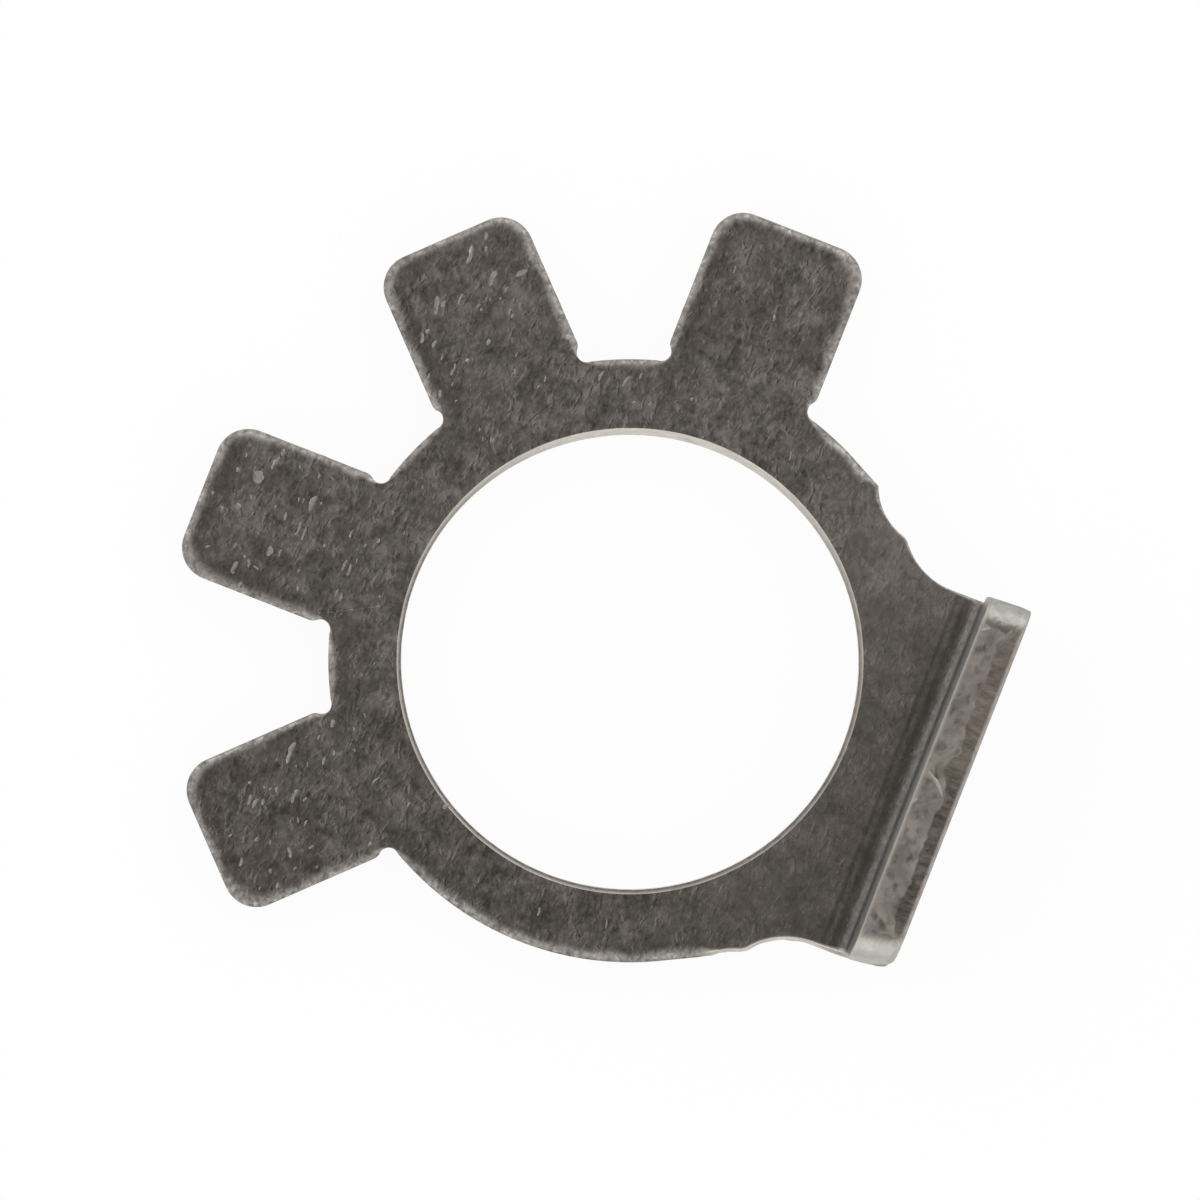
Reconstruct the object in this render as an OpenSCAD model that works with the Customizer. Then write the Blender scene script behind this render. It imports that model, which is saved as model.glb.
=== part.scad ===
// Tab washer stamped from one piece of sheet steel, in millimetres.
// The bore stands on Z with the underside at Z = 0, and the bent hook tab stands up on the +X side.

/* [Sheet] */
// thickness of the sheet
sheet_t = 2.0; // [1.6:0.1:2.4]
// width of the rolled-over edge that the blanking die leaves on the upper face
roll_w = 0.5; // [0.3:0.05:0.6]
// depth of that rolled-over edge
roll_d = 0.2; // [0.1:0.02:0.3]

/* [Ring] */
// bore, a clearance hole for a 20 mm thread
bore_d = 21; // [20.6:0.1:22]
// how much wider the torn part of the bore is at the upper face, on the radius
bore_flare = 0.15; // [0.1:0.01:0.25]
// height of the torn part of the bore
bore_flare_h = 0.75; // [0.5:0.05:1]
// outside diameter of the ring
ring_d = 27.5; // [26.6:0.1:28.4]

/* [Lock tabs] */
// number of flat tabs
tab_count = 4; // [1:1:4]
// angle of the first flat tab from the hook tab
tab_first = 90; // [85:1:90]
// angle from one flat tab to the next
tab_pitch = 45; // [42:0.5:46]
// width of a flat tab
tab_w = 7.2; // [6.4:0.1:7.6]
// distance from the bore axis to the end of a flat tab
tab_reach = 21; // [19.5:0.1:23]
// corner radius at the end of a flat tab
tab_corner_r = 1.5; // [0.9:0.1:2]
// radius of the relief scoop at the root of a flat tab
relief_r = 0.46; // [0.4:0.02:0.6]
// how far the relief scoop bites into the side of the tab
relief_bite = 0.24; // [0.15:0.01:0.3]
// radius that leads from the relief scoop into the side of the tab
relief_lead_r = 0.5; // [0.3:0.05:0.8]

/* [Hook tab] */
// width of the hook tab, and of the neck that carries it
hook_w = 17.4; // [16.6:0.1:18]
// distance from the bore axis to the inner face of the hook tab
hook_face = 14; // [13.8:0.1:15]
// height of the hook tab above the upper face
hook_h = 6; // [4.5:0.1:8]
// corner radius at the end of the hook tab
hook_corner_r = 1.5; // [0.9:0.1:2]
// inner radius of the bend
bend_r = 0.5; // [0.4:0.1:1]

/* [Neck notches] */
// sideways slip of the notch punches against the outline, along Y
notch_slip = -0.355; // [-0.5:0.005:0]
// height above the bend in which the sides of the hook tab take that slip up
slip_run = 1.5; // [1:0.1:2]
// radius of the large lobe that runs out along the neck
lobe_r = 3.3; // [3:0.1:3.6]
// straight run of the neck between the large lobe and the bend
neck_run = 1.1; // [0.8:0.1:1.4]
// radius of the small lobe that cuts back into the ring
side_lobe_r = 2.8; // [2.5:0.1:3]
// distance between the centres of the two lobes
lobe_gap = 2.35; // [2.2:0.05:2.5]
// direction of the small lobe from the large one
lobe_turn = 157.7; // [152:0.1:162]
// radius of the crest between the lobes
crest_r = 0.8; // [0.5:0.1:1.2]
// angle from the hook tab at which the shoulder leaves the ring
shoulder_turn = 63; // [61:0.5:65]

/* [Hidden] */
$fn = 128;
clear = 0.004;    // overlap that lets curves cross instead of only touching
past = 1;         // how far a cutter runs past the face it cuts
skirt = 0.1;      // how far the edge cutter runs on down outside the wall
land = 0.05;      // least sheet left beside a notch
ring_r = ring_d / 2;
bore_r = bore_d / 2;
bend_x = hook_face - bend_r;
hook_top = sheet_t + hook_h;
roll_r = (roll_w * roll_w + roll_d * roll_d) / (2 * roll_d);
neck_y = hook_w / 2;
// the scoop's centre stands off the tab's axis by the bite, and sits on the ring's rim
relief_y = tab_w / 2 - relief_bite + relief_r;
relief_x = sqrt(ring_r * ring_r - relief_y * relief_y) + relief_r;
relief_turn = atan2(relief_y, relief_x);
// the lead-in circle touches the scoop and the tab's side
lead_y = tab_w / 2 - relief_lead_r;
lead_x = relief_x + sqrt(pow(relief_r + relief_lead_r, 2) - pow(relief_y - lead_y, 2));
lobe = [bend_x - neck_run, neck_y + lobe_r];
side_lobe = lobe + lobe_gap * [cos(lobe_turn), sin(lobe_turn)];
shoulder = ring_r * [cos(shoulder_turn), sin(shoulder_turn)];
shoulder_y = max(shoulder[1] - (lobe[0] - shoulder[0]) / tan(shoulder_turn),
    neck_y + abs(notch_slip) + land);
// the width of the hook tab leaves the neck's width between these two heights
blend_z0 = sheet_t + bend_r;
blend_z1 = blend_z0 + slip_run;

// the centre of the crest circle touches both lobes
function crest(a, ra, b, rb, r) =
    let (d = norm(b - a), u = (b - a) / d, n = [-u[1], u[0]])
    let (p = ra + r, q = rb + r, along = (p * p - q * q + d * d) / (2 * d))
    a + along * u - sqrt(p * p - along * along) * n;

// section of the rolled edge: x runs in from the wall, y = 0 is the face
module roll_section() {
    difference() {
        translate([-past, -roll_d - skirt]) square([past + roll_w, roll_d + skirt + past]);
        translate([roll_w, clear - roll_r]) circle(r = roll_r);
    }
}

// rolled edge of a straight wall of length len along +X, with the wall at y = 0 and the sheet at y < 0
module roll_line(len) {
    rotate([90, 0, 90]) linear_extrude(len) mirror([1, 0]) roll_section();
}

// rolled edge of an outside arc
module roll_rim(r, from, sweep) {
    rotate_extrude(angle = sweep, start = from) translate([r, 0]) mirror([1, 0]) roll_section();
}

// rolled edge round a hole
module roll_hole(r) {
    rotate_extrude() translate([r, 0]) intersection() {
        roll_section();
        translate([-r / 2, -past]) square([r, 3 * past]);
    }
}

module tab_outline() {
    square_x = tab_reach - tab_corner_r;
    translate([0, -tab_w / 2]) square([square_x, tab_w]);
    translate([0, tab_corner_r - tab_w / 2]) square([tab_reach, tab_w - 2 * tab_corner_r]);
    for (side = [-1, 1])
        translate([square_x, side * (tab_w / 2 - tab_corner_r)]) circle(r = tab_corner_r);
}

// what the relief scoop takes out beside one tab
module scoop_outline() {
    translate([relief_x, relief_y]) circle(r = relief_r);
    difference() {
        polygon([[relief_x, relief_y], [lead_x, lead_y], [lead_x, tab_w / 2 + clear],
            [relief_x, tab_w / 2 + clear]]);
        translate([lead_x, lead_y]) circle(r = relief_lead_r + clear);
    }
}

module tab_roll() {
    corner_x = tab_reach - tab_corner_r;
    corner_y = tab_w / 2 - tab_corner_r;
    for (side = [0, 1]) mirror([0, side, 0]) {
        translate([relief_x, tab_w / 2, 0]) roll_line(corner_x - relief_x);
        translate([corner_x, corner_y, 0]) roll_rim(tab_corner_r, 0, 90);
        translate([relief_x, relief_y, 0]) roll_hole(relief_r);
    }
    translate([tab_reach, corner_y, 0]) rotate([0, 0, -90]) roll_line(2 * corner_y);
}

// one neck notch, on the +Y side before the punch slip
module notch_outline() {
    c = crest(side_lobe, side_lobe_r, lobe, lobe_r, crest_r);
    translate(lobe) circle(r = lobe_r + clear);
    translate(side_lobe) circle(r = side_lobe_r);
    difference() {
        polygon([lobe, side_lobe, c]);
        translate(c) circle(r = crest_r + clear);
    }
    translate([lobe[0], neck_y]) square([neck_run + past, lobe_r]);
}

// the ring with its two shoulders and the neck
module ring_outline() {
    difference() {
        union() {
            circle(r = ring_r);
            polygon([[0, 0], shoulder, [lobe[0], shoulder_y], [bend_x, shoulder_y],
                [bend_x, -shoulder_y], [lobe[0], -shoulder_y], [shoulder[0], -shoulder[1]]]);
        }
        translate([0, notch_slip]) for (side = [0, 1]) mirror([0, side]) notch_outline();
    }
}

module washer_outline() {
    difference() {
        union() {
            ring_outline();
            for (i = [0 : tab_count - 1]) rotate(tab_first + i * tab_pitch) tab_outline();
        }
        for (i = [0 : tab_count - 1], side = [0, 1])
            rotate(tab_first + i * tab_pitch) mirror([0, side]) scoop_outline();
    }
}

// hook tab seen along X, from the bend up to its end
module hook_outline() {
    r = hook_corner_r;
    polygon([[notch_slip - neck_y, 0], [notch_slip + neck_y, 0], [notch_slip + neck_y, blend_z0],
        [neck_y, blend_z1], [neck_y, hook_top - r], [-neck_y, hook_top - r], [-neck_y, blend_z1],
        [notch_slip - neck_y, blend_z0]]);
    translate([r - neck_y, hook_top - 2 * r]) square([hook_w - 2 * r, 2 * r]);
    for (side = [-1, 1]) translate([side * (neck_y - r), hook_top - r]) circle(r = r);
}

module hook() {
    wide = neck_y + past;
    intersection() {
        union() {
            translate([bend_x, 0, sheet_t + bend_r]) rotate([90, 0, 0])
                rotate_extrude(angle = 90, start = 270)
                translate([bend_r, -wide]) square([sheet_t, 2 * wide]);
            translate([hook_face, -wide, sheet_t + bend_r]) cube([sheet_t, 2 * wide, hook_h]);
        }
        translate([bend_x - past, 0, 0]) rotate([90, 0, 90]) linear_extrude(sheet_t + bend_r + 2 * past)
            hook_outline();
    }
}

// rolled edge on the inner face of the hook tab, drawn lying down and stood up with it
module hook_roll() {
    r = hook_corner_r;
    side_h = max(hook_top - r - blend_z1, clear);
    translate([hook_face, 0, hook_top]) rotate([0, -90, 0]) {
        for (side = [0, 1]) mirror([0, side, 0]) {
            translate([-r - side_h, neck_y, 0]) roll_line(side_h);
            translate([-r, neck_y - r, 0]) roll_rim(r, 0, 90);
        }
        translate([0, neck_y - r, 0]) rotate([0, 0, -90]) roll_line(hook_w - 2 * r);
    }
}

module edges() {
    translate([0, 0, sheet_t]) {
        for (i = [0 : tab_count - 1]) rotate([0, 0, tab_first + i * tab_pitch]) tab_roll();
        for (i = [0 : 1 : tab_count - 2])
            roll_rim(ring_r, tab_first + i * tab_pitch + relief_turn, tab_pitch - 2 * relief_turn);
        roll_rim(ring_r, shoulder_turn, tab_first - relief_turn - shoulder_turn);
        roll_rim(ring_r, tab_first + (tab_count - 1) * tab_pitch + relief_turn,
            360 - shoulder_turn - tab_first - (tab_count - 1) * tab_pitch - relief_turn);
    }
}

module bore() {
    translate([0, 0, -past]) cylinder(r = bore_r, h = sheet_t + 2 * past);
    flare_h = bore_flare_h + past;
    translate([0, 0, sheet_t - bore_flare_h])
        cylinder(r1 = bore_r, r2 = bore_r + bore_flare * flare_h / bore_flare_h, h = flare_h);
    mirror([0, 0, 1]) roll_hole(bore_r);
}

module tab_washer() {
    color([0.32, 0.31, 0.29]) difference() {
        union() {
            linear_extrude(sheet_t) washer_outline();
            hook();
        }
        bore();
        edges();
        hook_roll();
    }
}

tab_washer();
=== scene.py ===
import math

import bpy
import numpy as np
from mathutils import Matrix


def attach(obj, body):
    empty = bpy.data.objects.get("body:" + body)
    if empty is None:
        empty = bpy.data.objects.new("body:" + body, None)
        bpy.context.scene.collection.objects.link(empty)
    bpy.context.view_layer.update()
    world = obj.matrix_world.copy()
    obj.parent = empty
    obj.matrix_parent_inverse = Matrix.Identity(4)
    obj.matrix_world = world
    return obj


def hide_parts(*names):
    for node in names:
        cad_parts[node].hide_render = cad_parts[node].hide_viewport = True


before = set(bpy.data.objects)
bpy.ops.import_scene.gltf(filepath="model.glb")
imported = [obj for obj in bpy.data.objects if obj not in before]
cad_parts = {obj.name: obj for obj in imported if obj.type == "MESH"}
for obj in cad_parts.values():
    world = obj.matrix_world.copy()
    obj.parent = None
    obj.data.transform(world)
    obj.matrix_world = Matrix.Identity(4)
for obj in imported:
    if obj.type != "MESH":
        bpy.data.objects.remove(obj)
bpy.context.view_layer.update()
mm = 0.001
print("frame loaded:", ", ".join(sorted(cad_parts)))

# washer: real sizes in mm, the same as the solid's
washer = dict(
    sheet=2.0, boreR=10.46, ringR=13.75,
    tabTurns=(90, 135, 180, 225), tabHalf=3.6, tabReach=21.0, tabCorner=1.5,
    scoopR=0.46, scoopBite=0.24, leadR=0.5,            # relief beside each lock tab's root
    hookHalf=8.7, hookFace=14.0, hookHeight=6.0, hookCorners=(1.3, 1.6), bendR=0.47,
    hookSlip=-0.08, slip=-0.355, slipRun=1.5,          # sideways slip of the hook and of the notch punches
    hookSkew=0.12,                          # the hook's sheared sides lean this far through the sheet
    lobeR=3.3, neckRun=1.1, sideLobeR=2.8, lobeGap=2.35, lobeTurn=157.7, crestR=0.8, shoulderTurn=63,
)

# sheared edge: what the blanking die and the punches leave, in mm
edge = dict(
    rollW=0.43, rollTurn=0.4, rollLeast=0.06, rollMost=0.75, rollShape=0.42,   # roll-over, wide round corners
    rollSway=0.2, wideTurn=335, tightTurn=112, tightSpan=38, cornerTurn=18, cornerSpan=34,
    hookRoll=0.85, flankRoll=0.5,                          # share by which the hook's end and sides roll less
    tornZ=0.82, tornRagged=0.09, tornIn=0.05, tornRough=0.012, rimR=0.22,     # fracture and worn lower rim
    flare=0.15, flareH=0.75, lip=0.025,                      # pierced holes tear on the upper face
    tongueTurn=101, tongueSpan=55, tongueIn=0.14, tongueTop=0.03, shadeTurn=230,   # one bore side leans in; painted shade lies inside the edges that face shadeTurn
    rollRows=7, burnishRows=6, tornRows=5, rimRows=4,
    topRows=46, underRows=22, step=0.21,
)


# an arc as complex numbers: centre plus radius times e to the i angle, the last point left to the next
# stretch
def arcPath(centre, radius, start, end):
    count = max(4, int(round(abs(end - start) * radius / min(edge["step"], radius * 0.22))))
    return centre + radius * np.exp(1j * np.linspace(start, end, count, endpoint=False))


# a straight stretch from p to q, the last point left to the next stretch
def linePath(p, q):
    count = max(2, int(round(abs(q - p) / edge["step"])))
    return p + (q - p) * np.linspace(0, 1, count, endpoint=False)


# angle b brought to the nearest turn below a, for arcs that run clockwise
def turnBack(a, b):
    return b - 2 * math.pi * math.ceil((b - a) / (2 * math.pi))


# angle b brought to the nearest turn above a, for arcs that run anticlockwise
def turnOn(a, b):
    return b + 2 * math.pi * math.ceil((a - b) / (2 * math.pi))


bendX = washer["hookFace"] - washer["bendR"]
bendLong = (washer["bendR"] + washer["sheet"] / 2) * math.pi / 2      # length of the bend at mid sheet
blankEnd = bendX + bendLong + washer["hookHeight"] - washer["bendR"]  # hook end in the flat blank


# half of the hook side of the blank, from the middle of the hook's end round to where the shoulder leaves the
# ring: straight end and side, a cosine ease to the neck just above the bend, large lobe, crest, small lobe,
# shoulder line
def hookHalfPath(slip, hookSlip, cornerR):
    w = washer
    sideY = w["hookHalf"] + hookSlip
    neckY = w["hookHalf"] + slip
    corner = blankEnd - cornerR + 1j * (sideY - cornerR)
    lobe = bendX - w["neckRun"] + 1j * (neckY + w["lobeR"])
    side = lobe + w["lobeGap"] * np.exp(1j * math.radians(w["lobeTurn"]))
    # the crest circle touches both lobes from below
    along = (lobe - side) / abs(lobe - side)
    p, q, d = w["sideLobeR"] + w["crestR"], w["lobeR"] + w["crestR"], abs(lobe - side)
    run = (p * p - q * q + d * d) / (2 * d)
    crest = side + run * along - 1j * along * math.sqrt(p * p - run * run)
    # where the shoulder line, a tangent of the ring, meets the small lobe
    turn = math.radians(w["shoulderTurn"])
    leave = w["ringR"] * np.exp(1j * turn)
    away = np.exp(1j * (turn - math.pi / 2))
    b = ((leave - side) * away.conjugate()).real
    cut = leave + away * (-b - math.sqrt(b * b - abs(leave - side) ** 2 + w["sideLobeR"] ** 2))
    easeEnd = bendX + bendLong + w["slipRun"]
    ease = np.linspace(0, 1, int(w["slipRun"] / edge["step"]), endpoint=False)
    easeY = sideY + (neckY - sideY) * (1 - np.cos(math.pi * ease)) / 2
    a1 = -math.pi / 2
    a2 = turnBack(a1, np.angle(crest - lobe))
    b1 = np.angle(lobe - crest)
    b2 = turnOn(b1, np.angle(side - crest))
    c1 = np.angle(crest - side)
    c2 = turnBack(c1, np.angle(cut - side))
    stretches = [
        (linePath(blankEnd + 0j, blankEnd + 1j * corner.imag), 0),
        (arcPath(corner, cornerR, 0, math.pi / 2), 0),
        (linePath(corner.real + 1j * sideY, easeEnd + 1j * sideY), 0),
        (easeEnd - ease * w["slipRun"] + 1j * easeY, 0.3),
        (linePath(bendX + bendLong + 1j * neckY, bendX + 1j * neckY), 0.5),
        (linePath(bendX + 1j * neckY, lobe.real + 1j * neckY), 0.8),
        (arcPath(lobe, w["lobeR"], a1, a2), 1),
        (arcPath(crest, w["crestR"], b1, b2), 1),
        (arcPath(side, w["sideLobeR"], c1, c2), 1),
        (linePath(cut, leave), 0),
    ]
    path = np.concatenate([s[0] for s in stretches])
    pierced = np.concatenate([np.full(s[0].size, float(s[1])) for s in stretches])
    return path, pierced


# half of a lock tab along +X, from its scoop on the -Y side to the middle of its end
def tabHalfPath():
    w = washer
    scoopY = w["tabHalf"] - w["scoopBite"] + w["scoopR"]
    scoop = math.sqrt(w["ringR"] ** 2 - scoopY ** 2) + w["scoopR"] - 1j * scoopY
    leadY = w["tabHalf"] - w["leadR"]
    lead = scoop.real + math.sqrt((w["scoopR"] + w["leadR"]) ** 2 - (scoopY - leadY) ** 2) - 1j * leadY
    far = abs(scoop)
    reach = (w["ringR"] ** 2 - far ** 2 - w["scoopR"] ** 2) / (2 * w["scoopR"] * far)
    meet = np.angle(scoop) - math.acos(reach)          # where the ring's rim runs into the scoop
    meet = turnOn(math.pi / 2, meet)
    corner = w["tabReach"] - w["tabCorner"] - 1j * (w["tabHalf"] - w["tabCorner"])
    s2 = turnBack(meet, np.angle(lead - scoop))
    l1 = turnOn(math.pi / 2, np.angle(scoop - lead))
    stretches = [
        (arcPath(scoop, w["scoopR"], meet, s2), 0.9),
        (arcPath(lead, w["leadR"], l1, 3 * math.pi / 2), 0),
        (linePath(lead.real - 1j * w["tabHalf"], corner.real - 1j * w["tabHalf"]), 0),
        (arcPath(corner, w["tabCorner"], -math.pi / 2, 0), 0),
        (linePath(w["tabReach"] + 1j * corner.imag, w["tabReach"] + 0j), 0),
    ]
    path = np.concatenate([s[0] for s in stretches])
    pierced = np.concatenate([np.full(s[0].size, float(s[1])) for s in stretches])
    return path, pierced


# the second half of a stretch that mirrors the first: conjugate, back to front, with the shared point left in
# place
def mirrored(path, last):
    return np.concatenate([[last], path[:0:-1].conj()])


# whole outline of the blank, anticlockwise, with two shares for each point: pierced from below, which tears
# the upper face as the lower notch shows, and cut sharp without roll-over as the upper notch and the scoops
# show
def blankOutline():
    w = washer
    upper, upperCut = hookHalfPath(w["slip"], w["hookSlip"], w["hookCorners"][0])
    lower, lowerCut = hookHalfPath(-w["slip"], -w["hookSlip"], w["hookCorners"][1])
    tab, tabCut = tabHalfPath()
    paths, pierced, sharp = [upper], [0 * upperCut], [upperCut]
    last = math.radians(w["shoulderTurn"])
    for turn in w["tabTurns"]:
        spin = np.exp(1j * math.radians(turn))
        start = np.angle(tab[0]) + math.radians(turn)
        rim = arcPath(0j, w["ringR"], last, start)
        other = mirrored(tab, w["tabReach"] + 0j)
        closing = np.array([tab[0].conj()])            # the rim takes over from the far scoop here
        paths += [rim, tab * spin, other * spin]
        pierced += [np.zeros(rim.size + 2 * tab.size)]
        sharp += [np.zeros(rim.size), tabCut, tabCut[::-1]]
        last = np.angle(closing[0]) + math.radians(turn)
    rim = arcPath(0j, w["ringR"], last, 2 * math.pi - math.radians(w["shoulderTurn"]))
    leave = w["ringR"] * np.exp(-1j * math.radians(w["shoulderTurn"]))
    paths += [rim, mirrored(lower, leave)]
    pierced += [np.zeros(rim.size), lowerCut[::-1]]
    sharp += [np.zeros(rim.size), 0 * lowerCut]
    return np.concatenate(paths), np.concatenate(pierced), np.concatenate(sharp)


# running mean over a few neighbours of a closed row of values
def soften(values, reach):
    return sum(np.roll(values, k) for k in range(-reach, reach + 1)) / (2 * reach + 1)


# closed band of noise along s: cosines with wavelengths between longest and shortest and random phases
def bandNoise(s, total, longest, shortest, seed):
    waves = np.arange(int(total / longest) + 1, int(total / shortest) + 1)
    phase = np.random.default_rng(seed).uniform(0, 2 * math.pi, waves.size)
    return np.cos(2 * math.pi * np.outer(s / total, waves) + phase).sum(axis=1) * math.sqrt(2 / waves.size)


# stands the hook up: past bendX a point at height z turns on the radius bendR + sheet - z through a right
# angle, and what lies past the bend goes straight up
def bendUp(x, z):
    centreZ = washer["sheet"] + washer["bendR"]
    turn = np.clip((x - bendX) / bendLong, 0, 1) * math.pi / 2
    radius = centreZ - z
    over = np.maximum(x - bendX - bendLong, 0)
    bent = x > bendX
    return (np.where(bent, bendX + radius * np.sin(turn), x),
            np.where(bent, centreZ - radius * np.cos(turn) + over, z))


# section of a blanked wall from the upper face down: roll-over, burnished band, fracture that leans in,
# quarter round rim. The roll-over drops as a mix of u^curl and a quarter circle, u running from its inner
# line to the wall. n is the distance out from the outline and z the height, one row of values for each step
# down
def blankedWall(rollW, rollD, curl, tornZ, rimR):
    e, t = edge, washer["sheet"]
    u = np.sin(np.linspace(0, math.pi / 2, e["rollRows"]))[:, None]
    drop = 0.75 * u ** curl + 0.25 * (1 - np.sqrt(1 - u ** 2))
    down = np.arange(1, e["burnishRows"] + 1)[:, None] / e["burnishRows"]
    fall = np.arange(1, e["tornRows"] + 1)[:, None] / e["tornRows"]
    psi = np.arange(1, e["rimRows"] + 1)[:, None] / e["rimRows"] * math.pi / 2
    flat = np.ones_like(rollW)[None, :]
    n = np.vstack([-rollW * (1 - u), 0 * down * flat, -e["tornIn"] * fall * flat,
                   -e["tornIn"] - rimR * (1 - np.cos(psi))])
    z = np.vstack([t - rollD * drop, t - rollD + down * (tornZ - t + rollD),
                   tornZ + fall * (rimR - tornZ), rimR * (1 - np.sin(psi))])
    return n, z


# section of a pierced wall from the upper face down: sharp lip, fracture flare, burnished band, roll-over
def piercedWall(rollW, rollD, flare, flareH):
    e, t = edge, washer["sheet"]
    phi = np.linspace(math.pi / 2, 0, e["rollRows"] + 1)[1:, None]
    down = np.arange(1, e["burnishRows"] + 1)[:, None] / e["burnishRows"]
    fall = np.arange(1, e["tornRows"] + 1)[:, None] / e["tornRows"]
    psi = np.linspace(0, math.pi / 2, e["rimRows"])[:, None]
    n = np.vstack([-flare - e["lip"] * (1 - np.sin(psi)), -flare * (1 - fall), 0 * down * rollW,
                   -rollW * (1 - np.sin(phi))])
    z = np.vstack([t - e["lip"] * (1 - np.cos(psi)) + 0 * flare, t - e["lip"] + fall * (e["lip"] - flareH),
                   t - flareH + down * (rollD - t + flareH), rollD * (1 - np.cos(phi))])
    return n, z


# the washer's whole skin as one closed sheet: s runs round the outline and each row pairs a point of the
# outline with a point of the bore, over the upper face, down the outer wall, back under the sheet and up the
# bore's wall
def washerSurface():
    e, t = edge, washer["sheet"]
    outline, pierced, sharp = blankOutline()
    ahead = np.roll(outline, -1) - outline
    gap = np.abs(ahead)
    way = ahead / gap
    tangent = way + np.roll(way, 1)
    outward = -1j * tangent / np.abs(tangent)
    s = np.concatenate([[0], np.cumsum(gap)[:-1]])
    total = gap.sum()
    pierced, sharp = soften(pierced, 2), soften(sharp, 3)
    # 1 / radius, positive where convex
    curve = np.angle(way / np.roll(way, 1)) / ((gap + np.roll(gap, 1)) / 2)
    # an inset past the radius would fold
    room = 0.7 / np.maximum(curve, 0.1)
    room = np.min([np.roll(room, k) for k in range(-2, 3)], axis=0)
    curve = soften(curve, 3)

    # the hook's end rolled over less
    hookEnd = np.clip((outline.real - bendX - bendLong) / 0.8, 0, 1)
    # the die sat off to one side, so the roll-over is wide on edges facing wideTurn and tight on those facing
    # tightTurn
    faceWay = np.angle(outward)
    uneven = 1 + e["rollSway"] * np.cos(faceWay - math.radians(e["wideTurn"]))
    apart = np.degrees(np.angle(np.exp(1j * (faceWay - math.radians(e["tightTurn"])))))
    tight = soften(np.exp(-(apart / e["tightSpan"]) ** 2), 3)
    tightCorner = np.exp(-((apart - e["cornerTurn"]) / e["cornerSpan"]) ** 2)
    rollW = e["rollW"] * uneven * (1 + 0.2 * tight) + e["rollTurn"] * curve * (1 - 0.85 * tightCorner)
    rollW = np.clip(rollW, e["rollLeast"], e["rollMost"]) * (1 - 0.85 * sharp)
    # the hook's sides
    flank = np.clip((np.abs(outline.imag) - washer["hookHalf"] + 1.5) / 0.9, 0, 1) * hookEnd
    shoulder = np.clip((outline.real + 7) / 4, 0, 1) * (np.abs(np.abs(outline) - washer["ringR"]) < 0.05)
    shoulder = soften(soften(shoulder, 7), 7)
    rollW = rollW * (1 - e["hookRoll"] * hookEnd) * (1 - e["flankRoll"] * flank) + 0.07 * shoulder
    rollW = soften(rollW, 3) * (1 + 0.09 * bandNoise(s, total, 11, 2, 11))
    rollW = np.minimum(rollW, room)
    rollD = e["rollShape"] * rollW * (1 + 0.5 * hookEnd + 0.3 * shoulder)
    ragged = 0.7 * bandNoise(s, total, 7, 1.8, 12) + 0.35 * bandNoise(s, total, 1.8, 0.5, 13)
    corner = np.clip(soften(curve, 4) * 1.6, 0, 1)
    tornZ = e["tornZ"] - 0.42 * corner + e["tornRagged"] * ragged
    deep = 0.4 * np.exp(-((outline.imag - 0.82) / 0.45) ** 4)
    deep = deep - 0.14 * np.exp(-((outline.imag + 0.75) / 0.5) ** 4)
    # on the hook's end it differs by place
    tornZ = tornZ + hookEnd * (deep + 0.12 * (outline.imag > 1.2))
    tornZ = np.maximum(tornZ, 1.4 * e["rimR"] + 0.03)
    rimR = e["rimR"] * (1 + flank * np.where(outline.imag < 0, 0.4, -0.5))
    flare = np.minimum(e["flare"], room - e["lip"])
    flareH = e["flareH"] + 0.1 * bandNoise(s, total, 7, 0.8, 14)
    blanked = blankedWall(rollW, rollD, 1.3 + 2.2 * tight + 0.7 * shoulder, tornZ, rimR)
    punched = piercedWall(rollW, rollD, flare, flareH)
    wallN, wallZ = [a * (1 - pierced) + b * pierced for a, b in zip(blanked, punched)]

    # masks of the wall's zones by row: blanked walls run roll, burnish, tear, rim, and pierced ones the other
    # way round
    rowCounts = [e["rollRows"], e["burnishRows"], e["tornRows"], e["rimRows"]]
    rolled, burnished, torn, rim = [np.repeat(on, rowCounts) for on in np.eye(4)]
    rolled[:3], rim[-e["rimRows"]], rim[-1] = (0, 0.6, 0.9), 0.5, 0.6
    zones = [np.outer(m, 1 - pierced) + np.outer(m[::-1], pierced) for m in (rolled, burnished, torn, rim)]

    kept = 0.95 * np.maximum(corner, flank) * (1 - pierced) * zones[2]         # corners tear less
    zones[1], zones[2] = zones[1] + kept, zones[2] - kept
    zones[0] = zones[0] * (1 - 0.85 * hookEnd)
    # tight edges rub bright
    zones[1][e["rollRows"] - 2:e["rollRows"]] += 0.5 * tight * (1 - hookEnd) * (1 - sharp)
    low = outline.imag < 0
    clean = 0.75 * np.outer((torn + rim)[::-1],
                            pierced) + 0.65 * (zones[0] + zones[1] + zones[3]) * flank * low
    # the hook's corners are rubbed bright
    bright = (zones[0] + zones[1] + zones[3]) * flank * np.where(low, 0.8, 1)
    rough = np.random.default_rng(15).normal(size=wallN.shape)
    rough = (rough + np.roll(rough, 1, axis=1) + np.roll(rough, 2, axis=1)) / 1.7
    wallN = wallN + e["tornRough"] * rough * zones[2]
    wall = outline + outward * wallN

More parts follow.
